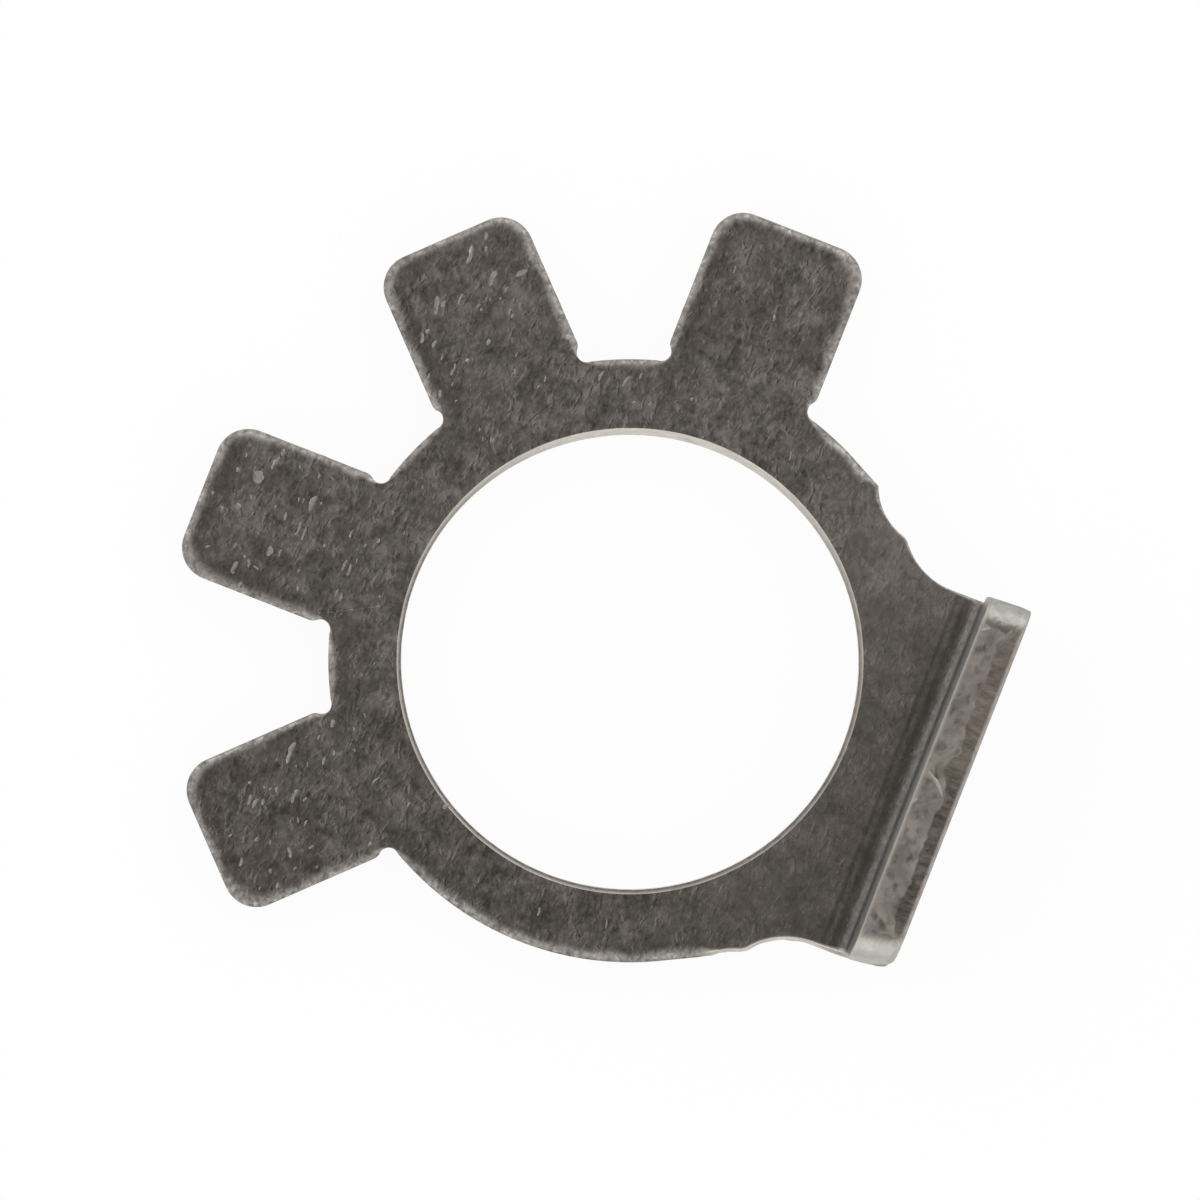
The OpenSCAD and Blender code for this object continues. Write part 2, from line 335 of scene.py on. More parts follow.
    # bore points follow the outline's angle, drawn together under each tab so that the rows fan out into it,
    # and kept rising where the scoops undercut the outline
    angle = np.degrees(np.unwrap(np.angle(outline)))
    local = angle - 90 - 45 * np.clip(np.round((angle - 90) / 45), 0, 3)
    fan = np.interp(local, (-22.5, -13.5, 13.5, 22.5), (-22.5, -5.5, 5.5, 22.5))
    angle = np.radians(angle + np.where(np.abs(local) < 22.5, fan - local, 0))
    angle = 0.985 * np.maximum.accumulate(angle) + 0.015 * (angle[0] + 2 * math.pi * s / total)
    boreW = np.full(outline.size, e["rollW"])
    boreFlare = e["flareH"] + 0.12 * bandNoise(s, total, 20, 2.5, 16)
    away = (np.degrees(angle) - e["tongueTurn"] + 180) % 360 - 180
    tongue = np.exp(-np.abs(away / e["tongueSpan"]) ** 3)
    boreFlare = boreFlare * (1 - tongue) + 1.7 * tongue
    boreTop = e["flare"] + (e["tongueIn"] - e["tongueTop"]) * tongue
    boreN, boreZ = piercedWall(boreW, boreW * e["rollShape"], boreTop, boreFlare)
    boreRough = np.random.default_rng(17).normal(size=boreN.shape)
    boreN = boreN + 0.5 * e["tornRough"] * boreRough * torn[::-1][:, None]
    bore = (washer["boreR"] - e["tongueIn"] * tongue - boreN) * np.exp(1j * angle)
    boreZones = [np.outer(m[::-1], np.ones(outline.size)) for m in (rolled, burnished, torn, rim)]
    # the tongue and the upper part of the tear are painted pale cream, least towards the hook: clean fracture
    # with a painted reflection on it
    upper = np.concatenate([(0.2, 0.35, 0.42, 0.42), (0.42, 0.25, 0.05, 0, 0),
                            np.zeros(e["burnishRows"] + e["rollRows"])])
    hookward = 0.5 * np.clip(np.cos(angle - math.radians(351)), 0, 1)
    freshAndSheen = np.outer((torn + burnished + rim)[::-1] > 0, 0.72 * tongue)
    freshAndSheen = freshAndSheen + np.outer(upper, (1 - tongue) * (1 - hookward))

    over = (np.arange(e["topRows"]) / e["topRows"])[:, None]
    # a row close to the bore keeps its edge crisp
    over[0] = 0.003
    under = (np.arange(1, e["underRows"] + 1) / (e["underRows"] + 1))[:, None]
    plan = np.vstack([bore[0] + over * (wall[0] - bore[0]), wall,
                      wall[-1] + under * (bore[-1] - wall[-1]), bore[::-1]])
    height = np.vstack([np.full((e["topRows"], outline.size), t), wallZ,
                        np.zeros((e["underRows"], outline.size)), boreZ[::-1]])
    blankTop, blankUnder = np.zeros((e["topRows"], outline.size)), np.zeros((e["underRows"], outline.size))
    masks = [np.vstack([blankTop, a, blankUnder, b[::-1]])
             for a, b in zip(zones + [clean, bright], boreZones + [freshAndSheen, 0 * freshAndSheen])]
    # painted shade just inside the roll-over of the edges that face the lower left: a bell over the distance
    # to the outline
    apart = [np.abs(row[:, None] - outline) for row in plan[:e["topRows"]]]
    inside, nearest = np.array([a.min(axis=1) for a in apart]), np.array([a.argmin(axis=1) for a in apart])
    towards = np.clip((outward[nearest] * np.exp(-1j * math.radians(e["shadeTurn"]))).real + 0.3, 0, 1)
    shadeAndDirt = 0 * height
    towards = towards * (0.85 - 0.55 * shoulder[nearest])
    onRing = plan[:e["topRows"]].real < bendX - 2
    shadeAndDirt[:e["topRows"]] = np.exp(-((inside - 0.75) / 0.32) ** 2) * towards * onRing
    masks.append(shadeAndDirt)

    # cells of the upper face whose corners turn the wrong way would shade black
    side = np.diff(plan[:e["topRows"] + 1], axis=0)
    on = (np.roll(plan, -1, axis=1) - plan)[:e["topRows"]]
    print("upper face cells turned over:", int(((side.conj() * on).imag <= 0).sum()))
    x, z = bendUp(plan.real, height)
    skew = washer["hookSkew"] * np.where(plan.imag < 0, 2.4, 1) * np.clip((plan.real - bendX) / bendLong, 0,
                                                                          1)
    y = plan.imag + skew * (1 - height / t) * np.clip(np.abs(plan.imag) - washer["hookHalf"] + 3, 0, 1)
    points = np.stack([x, y, z], axis=-1) * mm
    across = np.abs(np.diff(plan, axis=0, append=plan[:1])) + np.abs(np.diff(height, axis=0,
                                                                             append=height[:1]))
    v = np.concatenate([[0], np.cumsum(across.mean(axis=1))])
    # along the edge u is mm of the outline on the outer wall and mm of the circle on the bore's wall
    alongEdge, alongBore = np.append(s, total), washer["boreR"] * np.append(angle, angle[0] + 2 * math.pi)
    toWall = np.concatenate([over[:, 0], np.ones(len(wall)), 1 - under[:, 0], np.zeros(len(bore))])[:, None]
    return points, masks, alongBore + toWall * (alongEdge - alongBore), v


# puts a grid that closes on itself both ways into a mesh, with a UV map in mm along and across the edge
def gridMesh(name, points, masks, maskNames, u, v):
    rows, count = points.shape[:2]
    r, i = np.meshgrid(np.arange(rows), np.arange(count), indexing="ij")
    r1, i1 = (r + 1) % rows, (i + 1) % count
    corners = np.stack([r * count + i, r1 * count + i, r1 * count + i1, r * count + i1], axis=-1).reshape(-1)
    mesh = bpy.data.meshes.new(name)
    mesh.vertices.add(rows * count)
    mesh.vertices.foreach_set("co", points.reshape(-1).astype(np.float32))
    mesh.loops.add(corners.size)
    mesh.loops.foreach_set("vertex_index", corners.astype(np.int32))
    mesh.polygons.add(rows * count)
    mesh.polygons.foreach_set("loop_start", np.arange(0, corners.size, 4, dtype=np.int32))
    mesh.polygons.foreach_set("use_smooth", np.ones(rows * count, dtype=bool))
    mesh.update(calc_edges=True)
    uv = np.stack([np.stack([u[r, i], v[r]], -1), np.stack([u[r1, i], v[r + 1]], -1),
                   np.stack([u[r1, i + 1], v[r + 1]], -1), np.stack([u[r, i + 1], v[r]], -1)], axis=2)
    mesh.uv_layers.new(name="edgeMm").data.foreach_set("uv", uv.reshape(-1).astype(np.float32))
    for maskName, mask in zip(maskNames, masks):
        layer = mesh.attributes.new(maskName, "FLOAT", "POINT")
        layer.data.foreach_set("value", np.clip(mask, 0, 1).reshape(-1).astype(np.float32))
    mesh.validate()
    piece = bpy.data.objects.new(name, mesh)
    bpy.context.collection.objects.link(piece)
    return piece


points, masks, edgeU, edgeV = washerSurface()
edgeMasks = ("rolled", "burnished", "torn", "rim", "freshAndSheen", "bright", "shadeAndDirt")
body = gridMesh("stampedWasher", points, masks, edgeMasks, edgeU, edgeV)
print("washer skin:", points.shape[0], "rows of", points.shape[1], "points,", 2 * len(body.data.polygons),
      "triangles")


# sRGB hex to the linear colour that the shaders take
def hexColour(code):
    srgb = np.array([int(code[k:k + 2], 16) / 255 for k in (1, 3, 5)])
    linear = np.where(srgb <= 0.04045, srgb / 12.92, ((srgb + 0.055) / 1.055) ** 2.4)
    return (*linear.tolist(), 1.0)


# adds a shader node: settings by name, plain values and links by socket name or number, where a node given as
# a link stands for its first output
def addNode(tree, kind, values=None, links=None, **settings):
    node = tree.nodes.new("ShaderNode" + kind)
    for key, value in settings.items():
        setattr(node, key, value)
    for socket, value in (values or {}).items():
        node.inputs[socket].default_value = value
    for socket, source in (links or {}).items():
        output = source.outputs[0] if isinstance(source, bpy.types.Node) else source
        tree.links.new(output, node.inputs[socket])
    return node


# mild steel sheet, cold rolled, dulled by oil and tumbling: a dark cloudy grey that shows bare metal where it
# was rubbed or sheared, with painted light and shade in places as noted below
steel = dict(
    dark="#4b4743", mid="#746f6a", light="#a09991", stain="#6b5d52", rubbed="#96938f", paintedGlint="#cdc9c2",
    burnish="#c8bcb2", burnishCool="#9d9892", smudge="#5d564f", tear="#8a8077",
    tearDark="#4f4842", rim="#a29a95",
    freshAndSheen="#ece7da", bright="#abaaa5",                       # clean fracture with a painted reflection, rubbed hook corners
    paintedBendShade="#3f3c39", paintedBendSheen="#929395", bendMm=(12.57, 14.07),   # painted shade and highlight bands across the bend
    pit="#433f3b", hair="#b0aaa2", paintedFaceSheen="#b5b2ad", hairMm=(0.11, 0.4), veinMm=1.0, vein="#37332f",
    cloudMm=1.15, mottleMm=0.3, strandMm=(0.22, 0.38), scaleMm=(0.42, 0.8), scaleShift=0.035,
    pitMm=0.55, grainMm=0.06,
    roughness=0.42, burnishRoughness=0.3, tearRoughness=0.6,
)


def steelMaterial():
    k = steel
    material = bpy.data.materials.new("coldRolledSteelDullMill")
    material.use_nodes = True
    tree = material.node_tree
    tree.nodes.clear()
    place = addNode(tree, "TexCoord")
    inMm = addNode(tree, "Mapping", {"Scale": (1 / mm, 1 / mm, 1 / mm)}, {"Vector": place.outputs["Object"]})

    rolled, burnished, torn, rim, freshAndSheen, brightness, shadeAndDirt = [
        addNode(tree, "Attribute", attribute_name=name) for name in edgeMasks]

    # clouds, mottle and strands along the rolling direction add up to the tone of the dull surface
    cloud = addNode(tree, "TexNoise", {"Scale": 1 / k["cloudMm"], "Detail": 4.0, "Roughness": 0.55,
                                       "Distortion": 0.6}, {"Vector": inMm})
    mottle = addNode(tree, "TexNoise", {"Scale": 1 / k["mottleMm"], "Detail": 2.0, "Roughness": 0.5,
                                        "Distortion": 0.5}, {"Vector": inMm})
    across, along = 1 / k["strandMm"][0], 1 / k["strandMm"][1]
    lay = addNode(tree, "Mapping", {"Scale": (across, along, along), "Rotation": (0, 0, math.radians(6))},
                  {"Vector": inMm})
    strand = addNode(tree, "TexNoise", {"Scale": 1.0, "Detail": 2.5, "Roughness": 0.5, "Distortion": 0.7},
                     {"Vector": lay})
    weave = addNode(tree, "Mix", {0: 0.5}, {2: mottle, 3: strand}, data_type="FLOAT")
    cloudy = addNode(tree, "Mix", {0: 0.6}, {2: cloud, 3: weave}, data_type="FLOAT")

    # thin scales that lie along the rolling direction, with painted light and shade: the same plateaus twice,
    # a little apart across it, and their difference paints a highlight along one side of each scale and a
    # shadow along the other
    plateaus = []
    for shift in (k["scaleShift"], -k["scaleShift"]):
        moved = addNode(tree, "Mapping", {"Location": (shift, shift * 0.3, 0)}, {"Vector": inMm})
        drawn = addNode(tree, "Mapping", {"Scale": (1 / k["scaleMm"][0], 1 / k["scaleMm"][1], 1.0),
                                          "Rotation": (0, 0, math.radians(-8))}, {"Vector": moved})
        lumps = addNode(tree, "TexNoise", {"Scale": 1.0, "Detail": 3.0, "Roughness": 0.6, "Distortion": 0.9},
                        {"Vector": drawn})
        plateaus.append(addNode(tree, "MapRange", {"From Min": 0.53, "From Max": 0.64},
                                {"Value": lumps}, interpolation_type="SMOOTHSTEP"))
    scaleLightAndShade = addNode(tree, "Math", None, {0: plateaus[0], 1: plateaus[1]}, operation="SUBTRACT")
    worn = addNode(tree, "MapRange", {"From Min": 0.4, "From Max": 0.62, "To Min": 0.05, "To Max": 0.14},
                   {"Value": cloud})
    scaled = addNode(tree, "Math", None, {0: scaleLightAndShade, 1: worn, 2: cloudy}, operation="MULTIPLY_ADD")

    # the bending tool clamped the sheet smoother towards the hook; painted light and shade: lighter above
    # towards the hook and a little darker on the lower side, as the light falls
    where = addNode(tree, "SeparateXYZ", None, {"Vector": inMm})
    clamped = addNode(tree, "MapRange", {"From Min": 3.0, "From Max": 10.0, "To Max": 0.45},
                      {"Value": where.outputs["X"]}, interpolation_type="SMOOTHSTEP")
    calm = addNode(tree, "Mix", {3: 0.515}, {0: clamped, 2: scaled}, data_type="FLOAT")
    lower = addNode(tree, "MapRange", {"From Min": -12.0, "From Max": -2.0, "To Min": -0.034, "To Max": 0.0},
                    {"Value": where.outputs["Y"]})
    paintedLightAbove = addNode(tree, "MapRange", {"From Min": 3.0, "From Max": 9.0, "To Max": 0.11},
                     {"Value": where.outputs["Y"]})
    paintedLightSlope = addNode(tree, "Math", None, {0: paintedLightAbove, 1: clamped, 2: lower}, operation="MULTIPLY_ADD")
    tone = addNode(tree, "Math", None, {0: calm, 1: paintedLightSlope}, operation="ADD")
    ramp = addNode(tree, "ValToRGB", None, {"Fac": tone})
    ramp.color_ramp.elements[0].position = 0.36
    ramp.color_ramp.elements[0].color = hexColour(k["dark"])
    ramp.color_ramp.elements[1].position = 0.655
    ramp.color_ramp.elements[1].color = hexColour(k["light"])
    ramp.color_ramp.elements.new(0.5).color = hexColour(k["mid"])
    pits = addNode(tree, "TexNoise", {"Scale": 1 / k["pitMm"], "Detail": 2.0, "Distortion": 0.4},
                   {"Vector": inMm})
    pitShare = addNode(tree, "MapRange", {"From Min": 0.58, "From Max": 0.72, "To Max": 0.2},
                       {"Value": pits}, interpolation_type="SMOOTHSTEP")
    # painted shade just inside the lower left edges, broken up by the clouds
    insetShadeShare = addNode(tree, "Math", None, {0: shadeAndDirt.outputs["Fac"], 1: cloud}, operation="MULTIPLY")

    # faint short rub marks along the rolling direction, in clusters
    combedY = addNode(tree, "Mapping", {"Scale": (1 / k["hairMm"][0], 1 / k["hairMm"][1], 1.0),
                                        "Rotation": (0, 0, math.radians(4))}, {"Vector": inMm})
    hair = addNode(tree, "TexNoise", {"Scale": 1.0, "Detail": 1.5, "Roughness": 0.5, "Distortion": 0.3},
                   {"Vector": combedY})
    hairOn = addNode(tree, "MapRange", {"From Min": 0.6, "From Max": 0.74, "To Max": 0.5},
                     {"Value": hair}, interpolation_type="SMOOTHSTEP")
    cluster = addNode(tree, "MapRange", {"From Min": 0.42, "From Max": 0.58, "To Min": 0.2}, {"Value": cloud})
    hairShare = addNode(tree, "Math", None, {0: hairOn, 1: cluster}, operation="MULTIPLY")

    # thin curly dark lines: where a noise crosses its middle value, broken up by the pits' noise
    curls = addNode(tree, "TexNoise", {"Scale": 1 / k["veinMm"], "Detail": 2.0, "Roughness": 0.5,
                                       "Distortion": 1.6},
                    {"Vector": inMm})
    level = addNode(tree, "Math", {1: 0.5}, {0: curls}, operation="SUBTRACT")
    level = addNode(tree, "Math", None, {0: level}, operation="ABSOLUTE")
    line = addNode(tree, "MapRange", {"From Min": 0.004, "From Max": 0.022, "To Min": 0.36, "To Max": 0.0},
                   {"Value": level})
    broken = addNode(tree, "MapRange", {"From Min": 0.46, "From Max": 0.56}, {"Value": pits})
    veinShare = addNode(tree, "Math", None, {0: line, 1: broken}, operation="MULTIPLY")

    # brown stain, strongest towards the ends of the lock tabs
    blot = addNode(tree, "TexNoise", {"Scale": 1 / 1.9, "Detail": 4.0, "Roughness": 0.6}, {"Vector": inMm})
    flatPlace = addNode(tree, "VectorMath", {1: (1, 1, 0)}, {0: inMm}, operation="MULTIPLY")
    out = addNode(tree, "VectorMath", None, {0: flatPlace}, operation="LENGTH")
    outer = addNode(tree, "MapRange", {"From Min": 15.0, "From Max": 20.5, "To Min": 0.1, "To Max": 0.4},
                    {"Value": out.outputs["Value"]})
    blotted = addNode(tree, "MapRange", {"From Min": 0.42, "From Max": 0.68}, {"Value": blot})
    stainShare = addNode(tree, "Math", None, {0: outer, 1: blotted}, operation="MULTIPLY")

    # across the bend's line, over bendMm of x, painted shade in a thin dark line and dark bands, and a
    # painted highlight band low on the hook's inner face
    waver = addNode(tree, "Math", {1: 0.05}, {0: weave, 2: where.outputs["X"]}, operation="MULTIPLY_ADD")
    acrossBend = addNode(tree, "MapRange", {"From Min": k["bendMm"][0], "From Max": k["bendMm"][1]},
                         {"Value": waver})
    bendShadeBands = addNode(tree, "ValToRGB", None, {"Fac": acrossBend})
    bendSheenBand = addNode(tree, "ValToRGB", None, {"Fac": acrossBend})
    for band, stops in ((bendShadeBands, ((0.1, 0), (0.17, 0.45), (0.22, 0.45), (0.3, 0.15), (0.38, 0.25),
                                 (0.46, 0.54), (0.57, 0.51),
                                 (0.66, 0.3), (0.72, 0.3), (0.83, 0.54), (0.94, 0.1))),
                        (bendSheenBand, ((0.74, 0), (0.86, 0.15), (0.93, 0.8), (1.0, 0.8)))):
        for place01, share in stops[1:-1]:
            band.color_ramp.elements.new(place01).color = (share, share, share, 1)
        for k01, (place01, share) in ((0, stops[0]), (-1, stops[-1])):
            band.color_ramp.elements[k01].position = place01
            band.color_ramp.elements[k01].color = (share, share, share, 1)
    faceNear = addNode(tree, "MapRange", {"From Min": 14.7, "From Max": 14.3}, {"Value": where.outputs["X"]})
    faceLow = addNode(tree, "MapRange", {"From Min": 3.6, "From Max": 2.4}, {"Value": where.outputs["Z"]},
                      interpolation_type="SMOOTHSTEP")
    insideBend = addNode(tree, "Math", None, {0: faceNear, 1: faceLow}, operation="MULTIPLY")
    bendSheenShare = addNode(tree, "Math", None, {0: bendSheenBand, 1: insideBend}, operation="MULTIPLY")

    # painted highlight: the upper part of the hook's inner face, seen edge on, is painted lighter
    faceHigh = addNode(tree, "MapRange", {"From Min": 2.6, "From Max": 4.2, "To Max": 0.74},
                       {"Value": where.outputs["Z"]}, interpolation_type="SMOOTHSTEP")
    faceSheenShare = addNode(tree, "Math", None, {0: faceHigh, 1: faceNear}, operation="MULTIPLY")

    # the rolled edge is rubbed bare in patches, with small painted glints, painted highlights, on its
    # outermost part
    patch = addNode(tree, "MapRange", {"From Min": 0.4, "From Max": 0.62, "To Min": 0.25, "To Max": 0.8},
                    {"Value": weave})
    rubShare = addNode(tree, "Math", None, {0: rolled.outputs["Fac"], 1: patch}, operation="MULTIPLY")
    paintedGlint = addNode(tree, "MapRange", {"From Min": 0.56, "From Max": 0.68, "To Max": 0.3},
                    {"Value": mottle}, interpolation_type="SMOOTHSTEP")
    outermost = addNode(tree, "MapRange", {"From Min": 0.92, "From Max": 1.0},
                        {"Value": rolled.outputs["Fac"]})
    paintedGlintShare = addNode(tree, "Math", None, {0: paintedGlint, 1: outermost}, operation="MULTIPLY")

    # burnished band: soft warm and cool clouds, with smudges drawn across the edge, on the UV map's mm
    edgeMap = addNode(tree, "UVMap", uv_map="edgeMm")
    sheared = addNode(tree, "TexNoise", {"Scale": 1 / 0.9, "Detail": 4.0, "Roughness": 0.55,
                                         "Distortion": 0.5},
                      {"Vector": edgeMap})
    shearTone = addNode(tree, "MapRange", {"From Min": 0.36, "From Max": 0.62}, {"Value": sheared})
    shearColour = addNode(tree, "Mix", {6: hexColour(k["burnishCool"]), 7: hexColour(k["burnish"])},
                          {0: shearTone}, data_type="RGBA")
    drag = addNode(tree, "Mapping", {"Scale": (1 / 0.65, 1 / 0.5, 1.0)}, {"Vector": edgeMap})
    dragged = addNode(tree, "TexNoise", {"Scale": 1.0, "Detail": 2.0, "Roughness": 0.5, "Distortion": 0.1},
                      {"Vector": drag})
    smudge = addNode(tree, "MapRange", {"From Min": 0.51, "From Max": 0.75, "To Max": 0.82},
                     {"Value": dragged})
    # towards the rubbed hook corners the band ends in a ragged border with dirt
    ragged = addNode(tree, "TexNoise", {"Scale": 1 / 0.4, "Detail": 3.0, "Roughness": 0.6},
                     {"Vector": edgeMap})
    border = addNode(tree, "Math", {1: 1.1}, {0: ragged, 2: brightness.outputs["Fac"]},
                     operation="MULTIPLY_ADD")
    silted = addNode(tree, "MapRange", {"From Min": 0.62, "From Max": 0.8, "To Max": 0.65}, {"Value": border},
                     interpolation_type="SMOOTHSTEP")
    nearCorner = addNode(tree, "MapRange", {"From Min": 0.0, "From Max": 0.08},
                         {"Value": brightness.outputs["Fac"]})
    silt = addNode(tree, "Math", None, {0: silted, 1: nearCorner}, operation="MULTIPLY")
    soil = addNode(tree, "Math", None, {0: smudge, 1: silt}, operation="MAXIMUM")
    burnColour = addNode(tree, "Mix", {7: hexColour(k["smudge"])},
                         {0: soil, 6: shearColour.outputs[2]}, data_type="RGBA")

    # torn band: brown, streaked down the wall
    pulled = addNode(tree, "Mapping", {"Scale": (1 / 0.3, 1 / 0.8, 1.0)}, {"Vector": edgeMap})
    grit = addNode(tree, "TexNoise", {"Scale": 1.0, "Detail": 4.0, "Roughness": 0.65}, {"Vector": pulled})
    greyer = addNode(tree, "MapRange", {"From Min": -1.5, "From Max": 1.5, "To Min": -0.08, "To Max": 0.05},
                     {"Value": where.outputs["Y"]})
    grey = addNode(tree, "Math", None, {0: grit, 1: greyer}, operation="ADD")
    gritTone = addNode(tree, "MapRange", {"From Min": 0.3, "From Max": 0.7}, {"Value": grey})
    tearColour = addNode(tree, "Mix", {6: hexColour(k["tearDark"]), 7: hexColour(k["tear"])},
                         {0: gritTone}, data_type="RGBA")
    rimBroken = addNode(tree, "MapRange", {"From Min": 0.35, "From Max": 0.6, "To Min": 0.5},
                        {"Value": dragged})
    rimShare = addNode(tree, "Math", None, {0: rim.outputs["Fac"], 1: rimBroken}, operation="MULTIPLY")

    # clean fracture in the bore with a painted reflection, combed along the edge
    combed = addNode(tree, "Mapping", {"Scale": (1 / 0.9, 1 / 0.16, 1.0)}, {"Vector": edgeMap})
    streaks = addNode(tree, "TexNoise", {"Scale": 1.0, "Detail": 3.0, "Roughness": 0.6}, {"Vector": combed})
    streaked = addNode(tree, "MapRange", {"From Min": 0.32, "From Max": 0.66, "To Min": 0.5, "To Max": 1.05},
                       {"Value": streaks})
    freshAndSheenShare = addNode(tree, "Math", None, {0: freshAndSheen.outputs["Fac"], 1: streaked}, operation="MULTIPLY")

    # rubbed hook corners, blotchy inside their border
    blotch = addNode(tree, "MapRange", {"From Min": 0.38, "From Max": 0.66, "To Min": 1.0, "To Max": 0.5},
                     {"Value": ragged})
    bared = addNode(tree, "MapRange", {"From Min": 0.92, "From Max": 1.15}, {"Value": border},
                    interpolation_type="SMOOTHSTEP")
    brightShare = addNode(tree, "Math", None, {0: bared, 1: blotch}, operation="MULTIPLY")

    # the coats lie on each other in this order: how much of each shows, and its colour
    coats = [(pitShare, "pit"), (insetShadeShare, "pit"), (hairShare, "hair"), (veinShare, "vein"),
             (stainShare, "stain"), (bendShadeBands, "paintedBendShade"), (bendSheenShare, "paintedBendSheen"), (faceSheenShare, "paintedFaceSheen"),
             (rubShare, "rubbed"), (paintedGlintShare, "paintedGlint"),
             (burnished.outputs["Fac"], burnColour), (torn.outputs["Fac"], tearColour),
             (rimShare, "rim"), (freshAndSheenShare, "freshAndSheen"), (brightShare, "bright")]
    top = ramp.outputs[0]
    for share, colour in coats:
        plain = {7: hexColour(k[colour])} if isinstance(colour, str) else {}
        made = {} if plain else {7: colour.outputs[2]}
        top = addNode(tree, "Mix", plain, {0: share, 6: top, **made}, data_type="RGBA").outputs[2]

    # roughness: dull sheet, smoother where burnished, coarser where torn
    dullRough = addNode(tree, "MapRange", {"From Min": 0.3, "From Max": 0.7, "To Min": k["roughness"] + 0.08,
                                           "To Max": k["roughness"] - 0.08}, {"Value": mottle})
    rough = dullRough
    for share, value in ((burnished, k["burnishRoughness"]), (torn, k["tearRoughness"]),
                         (freshAndSheen, k["burnishRoughness"]), (brightness, k["roughness"] + 0.08)):
        rough = addNode(tree, "Mix", {3: value}, {0: share.outputs["Fac"], 2: rough}, data_type="FLOAT")

    # relief: fine grain, strands, and coarse grit on the tear
    grain = addNode(tree, "TexNoise", {"Scale": 1 / k["grainMm"], "Detail": 2.0}, {"Vector": inMm})
    grainTall = addNode(tree, "Math", {1: 0.05}, {0: grain}, operation="MULTIPLY")
    weaveTall = addNode(tree, "Math", {1: 0.22}, {0: weave, 2: grainTall}, operation="MULTIPLY_ADD")
    gritTall = addNode(tree, "Math", None, {0: grit, 1: torn.outputs["Fac"], 2: weaveTall},
                       operation="MULTIPLY_ADD")
    relief = addNode(tree, "Bump", {"Strength": 1.0, "Distance": 0.03 * mm}, {"Height": gritTall})
    shader = addNode(tree, "BsdfPrincipled", {"Metallic": 1.0}, {
        "Base Color": top, "Roughness": rough, "Normal": relief})
    addNode(tree, "OutputMaterial", None, {"Surface": shader})
    return material


body.data.materials.append(steelMaterial())
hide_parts("tab_washer")
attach(body, "root")
print("steel finish on the washer")

